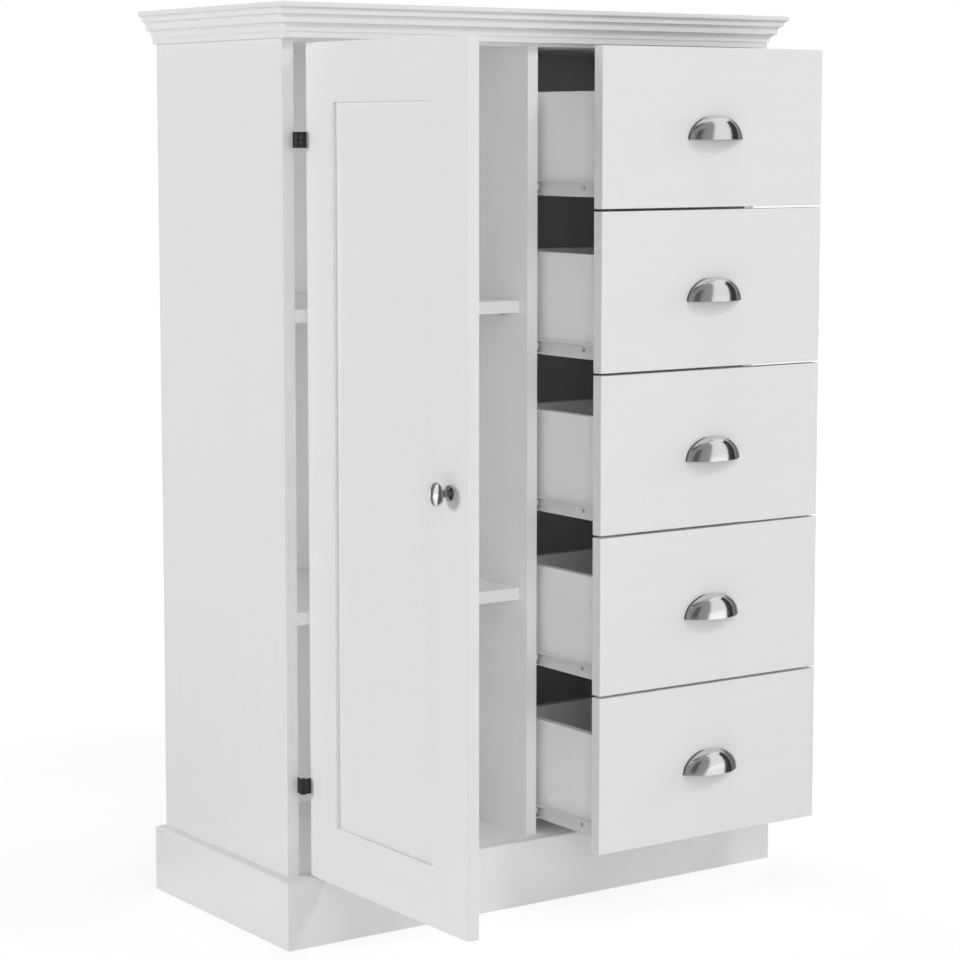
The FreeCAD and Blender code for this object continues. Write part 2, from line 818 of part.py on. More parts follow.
def cup(centre, half_width, projection, height):
    """A solid cup that draws in, level by level, towards a small flat top."""
    top_angle = math.radians(PULL_TOP_ANGLE)
    levels = []
    for step in range(PULL_STEPS + 1):
        angle = top_angle * step / PULL_STEPS
        share = math.cos(angle)
        middle = centre + UP * (height * math.sin(angle) / math.sin(top_angle))
        levels.append(half_moon(middle, half_width * share, projection * share, BACKWARDS * -1))
    return stacked(levels)


def pull_flange(centre):
    """The half-moon plate behind the cup."""
    return prism(
        half_moon(centre, PULL_WIDTH / 2, PULL_HEIGHT, UP), BACKWARDS * -PULL_FLANGE_THICKNESS
    )


def cup_pull(middle_height):
    """A half-moon cup pull: a thin shell, open below and behind, with a flange round it."""
    centre = Vector((front_left + front_right) / 2, front_face, middle_height - PULL_HEIGHT / 2)
    half_width = PULL_WIDTH / 2 - PULL_FLANGE
    height = PULL_HEIGHT - PULL_FLANGE
    hollow = cup(
        centre, half_width - PULL_WALL, PULL_PROJECTION - PULL_WALL, height - PULL_WALL
    )
    shell = cup(centre, half_width, PULL_PROJECTION, height)
    return shell.fuse(pull_flange(centre)).cut(hollow)


def drawer_nodes(number):
    """All pieces of one drawer, drawn out to rest."""
    top = drawer_top(number)
    foot = drawer_foot(number)
    runners = mirrored_pair(drawer_runner(foot), bay_middle)
    rollers = mirrored_pair(drawer_roller(foot), bay_middle)
    pieces = {
        "front": [drawer_front(top, foot)],
        "sides": box_sides(top, foot),
        "back": [box_back(top, foot)],
        "bottom": [box_bottom(foot)],
        "pull": [cup_pull(top - front_height / 2)],
        "runners": runners + rollers,
    }
    drawn_out = Vector(0, -DRAWER_DRAWN_OUT, 0)
    return {
        f"drawer_{number}_{name}": [solid.translated(drawn_out) for solid in solids]
        for name, solids in pieces.items()
    }


def carcass_nodes():
    """All pieces that stand still."""
    numbers = range(1, DRAWER_COUNT + 1)
    feet = [drawer_foot(number) for number in numbers]
    runners = [side for foot in feet for side in mirrored_pair(cabinet_runner(foot), bay_middle)]
    rollers = [side for foot in feet for side in mirrored_pair(cabinet_roller(foot), bay_middle)]
    left_plinth, right_plinth = mirrored_pair(plinth_left(), 0)
    left_cornice, right_cornice = mirrored_pair(cornice_left(), 0)
    return {
        "left_side_panel": [left_side_panel()],
        "right_side_panel": [right_side_panel()],
        "centre_divider": [centre_divider()],
        "bottom_panel": [bottom_panel()],
        "top_panel": [top_panel()],
        "back_panel": [back_panel()],
        "upper_shelf": [shelf(upper_shelf_top)],
        "lower_shelf": [shelf(lower_shelf_top)],
        "shelf_pins": shelf_pins(),
        "plinth_front": [plinth_front()],
        "plinth_left": [left_plinth],
        "plinth_right": [right_plinth],
        "plinth_rear_rail": [plinth_rear_rail()],
        "plinth_centre_support": [plinth_centre_support()],
        "cornice_front": [cornice_front()],
        "cornice_left": [left_cornice],
        "cornice_right": [right_cornice],
        "cornice_packer": [cornice_packer()],
        "top_board": [top_board()],
        "hinge_cabinet_leaves": cabinet_leaves(),
        "hinge_pins": hinge_pins(),
        "cabinet_runners": runners,
        "cabinet_rollers": rollers,
    }


def door_nodes():
    """All pieces of the door, swung open."""
    pieces = {
        "door_hinge_stile": [hinge_stile()],
        "door_latch_stile": [latch_stile()],
        "door_top_rail": [top_rail()],
        "door_bottom_rail": [bottom_rail()],
        "door_panel": [door_panel()],
        "door_knob": [door_knob()],
        "hinge_door_leaves": door_leaves(),
    }
    return {name: [open_door(solid) for solid in solids] for name, solids in pieces.items()}


def write_nodes(nodes):
    """Writes each node's solids to its own STEP file."""
    os.makedirs("parts", exist_ok=True)
    for name, solids in nodes.items():
        shape = solids[0] if len(solids) == 1 else Part.makeCompound(solids)
        shape.exportStep(f"parts/{name}.step")


all_nodes = carcass_nodes()
all_nodes.update(door_nodes())
for drawer_number in range(1, DRAWER_COUNT + 1):
    all_nodes.update(drawer_nodes(drawer_number))
write_nodes(all_nodes)
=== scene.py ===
"""Looks of the chifforobe: finishes, turned knob, cup pulls, small fasteners, studio and camera.

Lengths are metres. X runs across the front, Y runs from the front to the back, Z runs up.
At rest the door stands open with its outer face towards -X, and the drawers are part way out.
"""

import math

import bmesh
import bpy
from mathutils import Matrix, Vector


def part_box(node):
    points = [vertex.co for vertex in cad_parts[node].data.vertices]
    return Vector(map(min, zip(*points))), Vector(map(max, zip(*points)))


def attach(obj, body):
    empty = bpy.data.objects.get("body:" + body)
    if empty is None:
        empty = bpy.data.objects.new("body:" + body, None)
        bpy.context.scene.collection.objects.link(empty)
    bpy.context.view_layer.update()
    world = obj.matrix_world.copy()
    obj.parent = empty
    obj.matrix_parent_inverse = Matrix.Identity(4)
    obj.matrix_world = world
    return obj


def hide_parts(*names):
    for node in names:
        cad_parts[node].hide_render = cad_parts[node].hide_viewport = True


DRAWERS = range(1, 6)

ACROSS = Vector((1, 0, 0))
BACKWARDS = Vector((0, 1, 0))
UP = Vector((0, 0, 1))

# Axes that a grain or a brush mark can run along
X, Y, Z = range(3)

# Finishes, as linear colours
WHITE_FOIL = (0.83, 0.83, 0.83)
# Paler than WHITE_FOIL, as painted light inside the cabinet: the inner boards, the drawer boxes and
# the back board
INNER_FOIL_PAINTED_LIGHT = (0.90, 0.90, 0.90)
BOX_FOIL_PAINTED_LIGHT = (0.90, 0.90, 0.90)
BACK_BOARD_PAINTED_LIGHT = (0.90, 0.90, 0.90)
# Painted shade behind the drawers, on the back board's inside face and on the backs of the drawer
# boxes
BACK_BOARD_PAINTED_SHADE = (0.53, 0.53, 0.53)
PULL_NICKEL = (0.72, 0.715, 0.705)
# Painted shade and dark reflection at the ends of the pull
PULL_PAINTED_SHADE = (0.06, 0.06, 0.058)
KNOB_NICKEL = (0.80, 0.795, 0.785)
# Painted shade and dark reflection on the knob's base, neck and the back of its head
KNOB_PAINTED_SHADE = (0.27, 0.268, 0.262)
BLACK_STEEL = (0.018, 0.018, 0.019)
RUNNER_PAINT = (0.76, 0.76, 0.76)
NYLON = (0.76, 0.76, 0.74)
ZINC = (0.55, 0.55, 0.54)

# Roughness of the finishes, before their textures vary it
GRAINED_ROUGHNESS = 0.44
SMOOTH_ROUGHNESS = 0.50
PULL_ROUGHNESS = 0.17
KNOB_ROUGHNESS = 0.16
ZINC_ROUGHNESS = 0.32
BLACK_STEEL_ROUGHNESS = 0.42
RUNNER_ROUGHNESS = 0.40
NYLON_ROUGHNESS = 0.35

# Textures below: LINES, RUN and SPOTS are per metre, and DEPTH is that of the relief. SHADE is the
# share of the colour left where a texture is low. SPREAD is added to the roughness where a texture
# is low, and where it is high. ENDS are the two values of a texture that count as low and high
NOISE_DETAIL = 2.0
NOISE_ROUGHNESS = 0.5
NOISE_ENDS = (0.3, 0.7)

# Embossed foil: fine pores along the grain, and broader streaks
GRAIN_LINES = 620.0
GRAIN_RUN = 14.0
GRAIN_DETAIL = 3.0
GRAIN_NOISE_ROUGHNESS = 0.62
GRAIN_DEPTH = 0.000045
GRAIN_SHADE = 0.982
GRAIN_SHADE_ENDS = (0.32, 0.56)
GRAIN_SPREAD = (0.06, -0.06)
STREAK_LINES = 95.0
STREAK_RUN = 2.2
STREAK_SHARE = 0.35

# Smooth foil: orange peel, and broad clouds
PEEL_SPOTS = 420.0
PEEL_DEPTH = 0.00004
PEEL_SPREAD = (-0.04, 0.06)
CLOUD_SPOTS = 9.0
CLOUD_SHADE = 0.97
CLOUD_ENDS = (0.35, 0.65)

# Brushed metal
BRUSH_LINES = 5200.0
BRUSH_RUN = 60.0
BRUSH_DEPTH = 0.000004
BRUSH_SHADE = 0.93
BRUSH_SPREAD = (-0.04, 0.05)
BRUSH_SPREAD_ENDS = (0.25, 0.75)

# Coated steel and nylon
COAT_SPOTS = 900.0
COAT_DEPTH = 0.00003
COAT_SHADE = 0.9
COAT_SPREAD = (-0.05, 0.08)

# Which finish each CAD node takes. The knob and the pulls are replaced, and aren't here
NODES_OF_FINISH = {
    "grain_x": ["plinth_front", "plinth_rear_rail", "cornice_front", "cornice_packer", "top_board"],
    "grain_y": [
        "plinth_centre_support",
        "cornice_left",
        "cornice_right",
        "door_top_rail",
        "door_bottom_rail",
    ],
    "grain_z": [
        "left_side_panel",
        "right_side_panel",
        "plinth_left",
        "plinth_right",
        "door_hinge_stile",
        "door_latch_stile",
        "door_panel",
    ],
    "inner": ["centre_divider", "bottom_panel", "top_panel", "upper_shelf", "lower_shelf"],
    "back": ["back_panel"],
    "zinc": ["shelf_pins"],
    "black": ["hinge_cabinet_leaves", "hinge_pins", "hinge_door_leaves"],
    "runner": ["cabinet_runners"],
    "nylon": ["cabinet_rollers"],
}
FINISH_OF_DRAWER_PART = {
    "front": "grain_x",
    "sides": "box",
    "back": "box_back",
    "bottom": "box",
    "runners": "runner",
}

# Facets that meet at less than this angle are shaded as one curve
SMOOTH_ANGLE = math.radians(35)

# Vertices nearer than this to each other become one
MERGE_DISTANCE = 1e-6

# Cup pull
PULL_WALL = 0.0016
PULL_RIM = 0.0030
PULL_RIM_BEVEL = 0.0005
PULL_SQUARENESS = 3.0
PULL_TIP_SHARE = 0.02
PULL_SIDES = 56
PULL_RINGS = 28

# Painted shade and dark reflection at the ends of the pull: where they begin and where they are
# full, as shares of the pull's own box. SPREAD counts out from the middle, and RIGHT and LEFT count
# back from the pull's front
PULL_PAINTED_SHADE_SPREAD = (0.10, 0.18)
PULL_PAINTED_SHADE_RIGHT = (0.20, 0.32)
PULL_PAINTED_SHADE_LEFT = (0.78, 0.92)
PULL_PAINTED_SHADE_SHINE = 0.1

# Knob: out from the door, and radius from the axis
KNOB_SEGMENTS = 72
KNOB_OUTLINE = [
    (0.0000, 0.0099),
    (0.0012, 0.0099),
    (0.0018, 0.0094),
    (0.0027, 0.0078),
    (0.0042, 0.0061),
    (0.0062, 0.0050),
    (0.0085, 0.0046),
    (0.0106, 0.0047),
    (0.0128, 0.0055),
    (0.0150, 0.0074),
    (0.0166, 0.0101),
    (0.0177, 0.0132),
    (0.0184, 0.0146),
    (0.0194, 0.0151),
    (0.0205, 0.0150),
    (0.0214, 0.0143),
    (0.0223, 0.0128),
    (0.0235, 0.0094),
    (0.0246, 0.0048),
    (0.0252, 0.0000),
]

# Distances out from the door between which the knob's painted shade and dark reflection fade
KNOB_PAINTED_SHADE_ENDS = (0.0200, 0.0212)

# Screw heads: share of the radius, share of the height, and whether the ring outlines the recess
SCREW_SEGMENTS = 24
SCREW_RINGS = [
    (1.00, 0.00, False),
    (1.00, 0.35, False),
    (0.84, 0.80, False),
    (0.58, 1.00, False),
    (0.48, 1.00, True),
    (0.34, 0.40, True),
]
SCREW_RECESS_WAIST = 0.30

# Radius and height of each kind of screw head
RUNNER_SCREW = (0.0030, 0.0010)
HINGE_SCREW = (0.0026, 0.00045)
HANDLE_SCREW = (0.0042, 0.0019)

# Rivet heads on the rollers: out from the roller, and radius
RIVET_SEGMENTS = 24
RIVET_OUTLINE = [
    (0.0000, 0.0026),
    (0.0003, 0.0026),
    (0.0006, 0.0020),
    (0.0008, 0.0010),
    (0.0008, 0.0000),
]

# Runners: the thickness of their steel, and how far the drawer runner's flange stands out from its
# web. Setbacks count from a runner's front end, and rises from the foot of the drawer runner
RUNNER_STEEL = 0.0012
RUNNER_FLANGE = 0.0088
DRAWER_SCREW_RISE = 0.0120
DRAWER_SCREW_SETBACKS = (0.0460, 0.1900)
CABINET_SCREW_RISE = 0.0105
CABINET_SCREW_SETBACKS = (0.0350, 0.2200)
RIB_SETBACKS = (0.0520, 0.0580, 0.0640)
RIB_RISE = 0.0125
RIB_LENGTH = 0.0100
RIB_WIDTH = 0.0022
RIB_HEIGHT = 0.00035

# Rollers: REAR_ROLLER_INSET counts forwards from the rear end of the drawer runner to the axle, and
# ROLLER_SEAT is the gap between a roller and the web that carries it
ROLLER_RADIUS = 0.0070
ROLLER_WIDTH = 0.0065
ROLLER_SEAT = 0.0001
REAR_ROLLER_INSET = 0.0100
REAR_ROLLER_RISE = 0.0105
FRONT_ROLLER_RISE = 0.0126

# Places of the screws of hinges and pulls
HINGE_SCREW_SPACING = 0.0110
HINGE_HEIGHT = 0.0210
CABINET_LEAF_SCREW_INSET = 0.0105
DOOR_LEAF_SCREW_INSET = 0.0070
PULL_SCREW_SPREAD = 0.0320
PULL_SCREW_RISE = 0.0110

# Studio
WHITE = (1.0, 1.0, 1.0)
WORLD_STRENGTH = 0.10
LIGHT_BOUNCES = 8
SEEN_RAYS = ("Is Camera Ray", "Is Glossy Ray", "Is Transmission Ray")

# Floor: its colour where it is seen, its colour for the light that it throws back, and its own
# glow, which grows between two distances from the cabinet
FLOOR_SIZE = 30.0
FLOOR_COLOUR = (0.38, 0.38, 0.38)
FLOOR_BOUNCE_COLOUR = (0.8, 0.8, 0.8)
FLOOR_GLOW_NEAR = 0.70
FLOOR_GLOW_FAR = 1.0
FLOOR_GLOW_RADII = (0.9, 2.6)

# Softboxes: bearing in degrees from the front towards the right, elevation, size and power
LAMP_DISTANCE = 6.5
LAMP_TARGET = (0.0, -0.2, 0.65)
SOFTBOXES = {
    "softbox_left": (-108.0, 13.0, 1.8, 184.0),
    "softbox_front_left": (-28.0, 8.0, 2.8, 60.0),
    "softbox_front_high": (-22.0, 32.0, 2.8, 56.0),
    "softbox_front_low": (6.0, 6.0, 2.4, 42.0),
    "softbox_key": (27.0, 38.0, 1.3, 74.0),
    "softbox_right": (80.0, 12.0, 2.8, 185.0),
    "softbox_back": (180.0, 25.0, 2.8, 88.0),
    "softbox_above": (0.0, 85.0, 2.8, 82.0),
}

# Flags that only gloss and mirrors show: first and last bearing in degrees from the front towards
# the right, radius, highest elevation in whole degrees, and shade
FLAG_CENTRE = (0.0, -0.25)
FLAG_LIFT = 0.004
FLAG_INNER_RADIUS = 0.7
FLAG_STEP = 6
FLAGS = {
    "flag_front_grey": (-60.0, 2.0, 6.0, 84, 0.34),
    "flag_photographer": (-46.0, -29.0, 5.5, 48, 0.10),
    "flag_front_right": (57.0, 150.0, 6.0, 42, 0.04),
    "flag_left": (-104.0, -60.0, 6.0, 84, 0.10),
    "flag_behind": (-160.0, -131.0, 6.0, 84, 0.16),
}

# Camera, fitted to the photograph's edges. Turn and dip are degrees, the lens is millimetres
CAMERA_PLACE = (-2.2198, -3.2410, 1.0868)
CAMERA_TURN = 34.6538
CAMERA_DIP = 6.3098
CAMERA_LENS = 102.512
CAMERA_SHIFT_Y = -0.05


# Shader nodes

def opaque(colour):
    """A colour with full alpha."""
    return (*colour, 1.0)


def grey(value):
    """A neutral colour, or the same number for X, Y and Z."""
    return (value, value, value)


def fill(tree, node, values):
    """Fills a node's inputs, each with a plain value or with another node's output."""
    for name, value in values.items():
        if isinstance(value, bpy.types.NodeSocket):
            tree.links.new(value, node.inputs[name])
        else:
            node.inputs[name].default_value = value


def add_node(tree, kind, values):
    """A new node with its inputs filled."""
    node = tree.nodes.new(kind)
    fill(tree, node, values)
    return node


def worked_out(tree, operation, first, second):
    """A number from two others, each a plain number or another node's output."""
    node = add_node(tree, "ShaderNodeMath", {0: first, 1: second})
    node.operation = operation
    return node.outputs[0]


def place_axes(tree, kind):
    """The X, Y and Z of a place on the piece, of the kind Object or Generated."""
    place = tree.nodes.new("ShaderNodeTexCoord")
    split = add_node(tree, "ShaderNodeSeparateXYZ", {"Vector": place.outputs[kind]})
    return split.outputs


def noise(tree, frequencies, detail=NOISE_DETAIL, roughness=NOISE_ROUGHNESS):
    """A noise texture in the object's own metres, stretched by a frequency for each axis."""
    place = tree.nodes.new("ShaderNodeTexCoord")
    stretch = add_node(
        tree,
        "ShaderNodeMapping",
        {"Vector": place.outputs["Object"], "Scale": frequencies},
    )
    texture = add_node(
        tree,
        "ShaderNodeTexNoise",
        {
            "Vector": stretch.outputs["Vector"],
            "Scale": 1.0,
            "Detail": detail,
            "Roughness": roughness,
        },
    )
    return texture.outputs["Fac"]


def along(axis, run, lines):
    """Texture frequencies for a grain that runs along one axis."""
    return [run if index == axis else lines for index in (X, Y, Z)]


def blended(tree, first, second, share):
    """Two grey values mixed."""
    node = add_node(tree, "ShaderNodeMix", {"Factor": share, "A": first, "B": second})
    return node.outputs["Result"]


def rising(tree, source, ends):
    """0 below the first end, 1 above the second."""
    node = add_node(
        tree,
        "ShaderNodeMapRange",
        {"Value": source, "From Min": ends[0], "From Max": ends[1], "To Min": 0.0, "To Max": 1.0},
    )
    return node.outputs["Result"]


def ramp(tree, source, ends, colours):
    """A colour ramp from source between two positions."""
    node = add_node(tree, "ShaderNodeValToRGB", {"Fac": source})
    for stop, position, colour in zip(node.color_ramp.elements, ends, colours):
        stop.position = position
        stop.color = opaque(colour)
    return node.outputs["Color"]


def shaded(tree, source, ends, colour, shade):
    """A colour that is darker where source is low."""
    dark = tuple(channel * shade for channel in colour)
    return ramp(tree, source, ends, (dark, colour))


def varied(tree, source, ends, roughness, spread):
    """A roughness that changes with source."""
    return ramp(tree, source, ends, [grey(roughness + change) for change in spread])


def relief(tree, height, depth):
    """Bump of a real depth in metres."""
    node = add_node(tree, "ShaderNodeBump", {"Height": height, "Distance": depth, "Strength": 1.0})
    return node.outputs["Normal"]


# Materials

def new_material(name):
    """A material and its nodes."""
    material = bpy.data.materials.new(name)
    material.use_nodes = True
    return material, material.node_tree


def fill_shader(tree, values):
    """Fills inputs of a material's Principled shader."""
    fill(tree, tree.nodes["Principled BSDF"], values)


def tint(tree, share, colour):
    """Turns a material's own colour towards another, by a share between 0 and 1."""
    own = tree.nodes["Principled BSDF"].inputs["Base Color"].links[0].from_socket
    mix = add_node(
        tree,
        "ShaderNodeMixRGB",
        {"Fac": share, "Color1": own, "Color2": opaque(colour)},
    )
    fill_shader(tree, {"Base Color": mix.outputs["Color"]})


def grained_foil(name, axis):
    """White foil, embossed with a fine wood grain that runs along one axis."""
    material, tree = new_material(name)
    pores = noise(tree, along(axis, GRAIN_RUN, GRAIN_LINES), GRAIN_DETAIL, GRAIN_NOISE_ROUGHNESS)
    streaks = noise(tree, along(axis, STREAK_RUN, STREAK_LINES))
    height = blended(tree, pores, streaks, STREAK_SHARE)
    fill_shader(
        tree,
        {
            "Base Color": shaded(tree, height, GRAIN_SHADE_ENDS, WHITE_FOIL, GRAIN_SHADE),
            "Roughness": varied(tree, pores, NOISE_ENDS, GRAINED_ROUGHNESS, GRAIN_SPREAD),
            "Normal": relief(tree, height, GRAIN_DEPTH),
        },
    )
    return material


def smooth_foil(name, colour):
    """Plain foil or paint with a faint orange-peel surface."""
    material, tree = new_material(name)
    peel = noise(tree, grey(PEEL_SPOTS))
    cloud = noise(tree, grey(CLOUD_SPOTS))
    fill_shader(
        tree,
        {
            "Base Color": shaded(tree, cloud, CLOUD_ENDS, colour, CLOUD_SHADE),
            "Roughness": varied(tree, peel, NOISE_ENDS, SMOOTH_ROUGHNESS, PEEL_SPREAD),
            "Normal": relief(tree, peel, PEEL_DEPTH),
        },
    )
    return material


def brushed_metal(name, colour, roughness, axis):
    """Metal with fine brush marks that run along one axis."""
    material, tree = new_material(name)
    marks = noise(tree, along(axis, BRUSH_RUN, BRUSH_LINES))
    fill_shader(
        tree,
        {
            "Base Color": shaded(tree, marks, NOISE_ENDS, colour, BRUSH_SHADE),
            "Metallic": 1.0,
            "Roughness": varied(tree, marks, BRUSH_SPREAD_ENDS, roughness, BRUSH_SPREAD),
            "Normal": relief(tree, marks, BRUSH_DEPTH),
        },
    )
    return material


def coated(name, colour, roughness):
    """Painted or blackened steel, or nylon, with a fine orange peel."""
    material, tree = new_material(name)
    peel = noise(tree, grey(COAT_SPOTS))
    fill_shader(
        tree,
        {
            "Base Color": shaded(tree, peel, NOISE_ENDS, colour, COAT_SHADE),
            "Roughness": varied(tree, peel, NOISE_ENDS, roughness, COAT_SPREAD),
            "Normal": relief(tree, peel, COAT_DEPTH),
        },
    )
    return material


def knob_metal():
    """Nickel, with painted shade and dark reflection on the knob's base, its neck and the back of
    its head.
    """
    material = brushed_metal("nickel_knob", KNOB_NICKEL, KNOB_ROUGHNESS, Z)
    tree = material.node_tree
    door_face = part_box("door_knob")[1].x
    ends = (door_face - KNOB_PAINTED_SHADE_ENDS[1], door_face - KNOB_PAINTED_SHADE_ENDS[0])
    # Painted shade and dark reflection, from the door out to the back of the head
    tint(tree, rising(tree, place_axes(tree, "Object")["X"], ends), KNOB_PAINTED_SHADE)
    return material


def pull_metal():
    """Nickel, with painted shade and dark reflection where the ends of the pull meet the drawer
    front.
    """
    material = brushed_metal("nickel_pull", PULL_NICKEL, PULL_ROUGHNESS, X)
    tree = material.node_tree
    axes = place_axes(tree, "Generated")
    to_right = worked_out(tree, "SUBTRACT", axes["X"], 0.5)
    to_left = worked_out(tree, "SUBTRACT", 0.0, to_right)
    shares = []
    for offset, depths in ((to_right, PULL_PAINTED_SHADE_RIGHT), (to_left, PULL_PAINTED_SHADE_LEFT)):
        spread = rising(tree, offset, PULL_PAINTED_SHADE_SPREAD)
        shares.append(worked_out(tree, "MULTIPLY", spread, rising(tree, axes["Y"], depths)))
    share = worked_out(tree, "MAXIMUM", *shares)
    # Painted shade and dark reflection at the ends of the pull, where the nickel stops being metal
    tint(tree, share, PULL_PAINTED_SHADE)
    metallic = worked_out(tree, "SUBTRACT", 1.0, share)
    fill_shader(tree, {"Specular IOR Level": PULL_PAINTED_SHADE_SHINE, "Metallic": metallic})
    return material


def back_board():
    """White hardboard with painted light, whose inside face is grey with painted shade behind the
    drawers.
    """
    material = smooth_foil("back_board_painted_light_and_shade", BACK_BOARD_PAINTED_LIGHT)
    tree = material.node_tree
    axes = place_axes(tree, "Object")
    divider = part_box("centre_divider")
    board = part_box("back_panel")
    middle = (board[0].y + board[1].y) / 2
    right = rising(tree, axes["X"], (divider[0].x, divider[1].x))
    rear = rising(tree, axes["Y"], (middle, board[1].y))
    inside = worked_out(tree, "SUBTRACT", 1.0, rear)
    # Painted shade: grey on the inside face, right of the centre divider, behind the drawers
    tint(tree, worked_out(tree, "MULTIPLY", right, inside), BACK_BOARD_PAINTED_SHADE)
    return material


def make_materials():
    """Every finish on the cabinet, by name."""
    return {
        "grain_x": grained_foil("foil_grain_across", X),
        "grain_y": grained_foil("foil_grain_in_depth", Y),
        "grain_z": grained_foil("foil_grain_upright", Z),
        # Paler than the outer foil, as painted light inside the cabinet
        "inner": smooth_foil("inner_board_foil_painted_light", INNER_FOIL_PAINTED_LIGHT),
        "box": smooth_foil("drawer_box_foil_painted_light", BOX_FOIL_PAINTED_LIGHT),
        "back": back_board(),
        # Painted shade on the backs of the drawer boxes
        "box_back": smooth_foil("box_back_painted_shade", BACK_BOARD_PAINTED_SHADE),
        "pull": pull_metal(),
        "knob": knob_metal(),
        "black": coated("black_hinge_steel", BLACK_STEEL, BLACK_STEEL_ROUGHNESS),
        "runner": coated("runner_epoxy", RUNNER_PAINT, RUNNER_ROUGHNESS),
        "nylon": coated("roller_nylon", NYLON, NYLON_ROUGHNESS),
        "zinc": brushed_metal("zinc_plate", ZINC, ZINC_ROUGHNESS, X),
    }


# Carried-over CAD nodes

def dress(node, material):
    """Gives one CAD node its finish."""
    node.data.materials.clear()
    node.data.materials.append(material)


def dress_nodes(nodes, materials):
    """Gives every CAD node that stays in view its finish."""
    for finish, names in NODES_OF_FINISH.items():
        for name in names:
            dress(nodes[name], materials[finish])
    for number in DRAWERS:
        for part, finish in FINISH_OF_DRAWER_PART.items():
            dress(nodes[f"drawer_{number}_{part}"], materials[finish])


# New pieces, and the forms that they are made of

def link_object(name, data):
    """Links new data to the scene as an object."""
    thing = bpy.data.objects.new(name, data)
    bpy.context.scene.collection.objects.link(thing)
    return thing


def new_piece(name, body, mesh_builder, material):
    """A piece whose mesh is filled by mesh_builder(bmesh), riding on a CAD body."""
    mesh = bpy.data.meshes.new(name)
    shape = bmesh.new()
    mesh_builder(shape)
    bmesh.ops.recalc_face_normals(shape, faces=shape.faces)
    shape.to_mesh(mesh)
    shape.free()
    mesh.materials.append(material)
    for polygon in mesh.polygons:
        polygon.use_smooth = True
    mesh.set_sharp_from_angle(angle=SMOOTH_ANGLE)
    piece = link_object(name, mesh)
    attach(piece, body)
    return piece


def ring_faces(shape, first, second, closed=True):
    """Faces between two rows of vertices. A row may be one vertex repeated, as at a pole."""
    count = len(first)
    for index in range(count if closed else count - 1):
        after = (index + 1) % count
        corners = [first[index], first[after], second[after], second[index]]
        corners = list(dict.fromkeys(corners))
        if len(corners) > 2:
            shape.faces.new(corners)


def join_rows(shape, rows, closed=True):
    """Faces between each row of vertices and the next."""
    for first, second in zip(rows, rows[1:]):
        ring_faces(shape, first, second, closed)


def turned(shape, outline, centre, direction, segments):
    """A solid of revolution; outline gives (distance along direction, radius)."""
    turn = direction.to_track_quat("Z", "Y").to_matrix()
    rows = []
    for out, radius in outline:
        if radius == 0:
            rows.append([shape.verts.new(centre + direction * out)] * segments)
            continue
        row = []
        for segment in range(segments):
            angle = 2 * math.pi * segment / segments
            offset = Vector((radius * math.cos(angle), radius * math.sin(angle), out))
            row.append(shape.verts.new(centre + turn @ offset))
        rows.append(row)
    join_rows(shape, rows)
    if outline[0][1] > 0:
        shape.faces.new(rows[0])


def screw_head(shape, seat, outwards, radius, height):
    """A pan head with a cross recess; seat is the middle of its foot."""
    turn = outwards.to_track_quat("Z", "Y").to_matrix()
    quarter = SCREW_SEGMENTS // 4
    rows = []
    for reach, rise, in_recess in SCREW_RINGS:
        row = []
        for segment in range(SCREW_SEGMENTS):
            angle = 2 * math.pi * segment / SCREW_SEGMENTS
            between_arms = in_recess and segment % quarter not in (0, 1, quarter - 1)
            spread = radius * reach * (SCREW_RECESS_WAIST if between_arms else 1.0)
            offset = Vector((spread * math.cos(angle), spread * math.sin(angle), height * rise))
            row.append(shape.verts.new(seat + turn @ offset))
        rows.append(row)
    join_rows(shape, rows)
    shape.faces.new(rows[0])
    shape.faces.new(rows[-1])


def pressed_rib(shape, middle, outwards):
    """An upright rib with sloping sides, pressed outwards from sheet steel."""
    sideways = outwards.cross(UP)
    rows = []
    for rise in (0.0, RIB_HEIGHT):
        half_length = RIB_LENGTH / 2 - rise
        half_width = RIB_WIDTH / 2 - rise
        row = []
        for up, side in ((-1, -1), (1, -1), (1, 1), (-1, 1)):
            offset = outwards * rise + UP * half_length * up + sideways * half_width * side
            row.append(shape.verts.new(middle + offset))
        rows.append(row)
    join_rows(shape, rows)
    shape.faces.new(rows[0])
    shape.faces.new(rows[1])


# Knob and pulls

def on_knob_axis(across):
    """The point on the knob's axis at a place across the front."""
    low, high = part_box("door_knob")
    return Vector((across, (low.y + high.y) / 2, (low.z + high.z) / 2))


def make_knob(material):
    """The turned knob on the latch stile, its head a shallow lens."""
    foot = on_knob_axis(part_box("door_knob")[1].x)
    piece = new_piece(
        "knob",
        "door",
        lambda shape: turned(shape, KNOB_OUTLINE, foot, -ACROSS, KNOB_SEGMENTS),
        material,
    )
    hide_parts("door_knob")


def pull_section(reach, rise, bevel):
    """One level of the cup, as places across and out from the drawer front.

    A short wall stands out from the drawer front at each side, and a shallow arc joins the walls.
    """
    spread = 2 * math.atan2(rise, reach - bevel)
    radius = (reach - bevel) / math.sin(spread)
    section = [(-reach, 0.0), (-reach, PULL_RIM - bevel)]
    for side in range(PULL_SIDES + 1):
        turn = spread * (2 * side / PULL_SIDES - 1)
        out = PULL_RIM + radius * (math.cos(turn) - math.cos(spread))
        section.append((radius * math.sin(turn), out))
    section += [(reach, PULL_RIM - bevel), (reach, 0.0)]
    return section


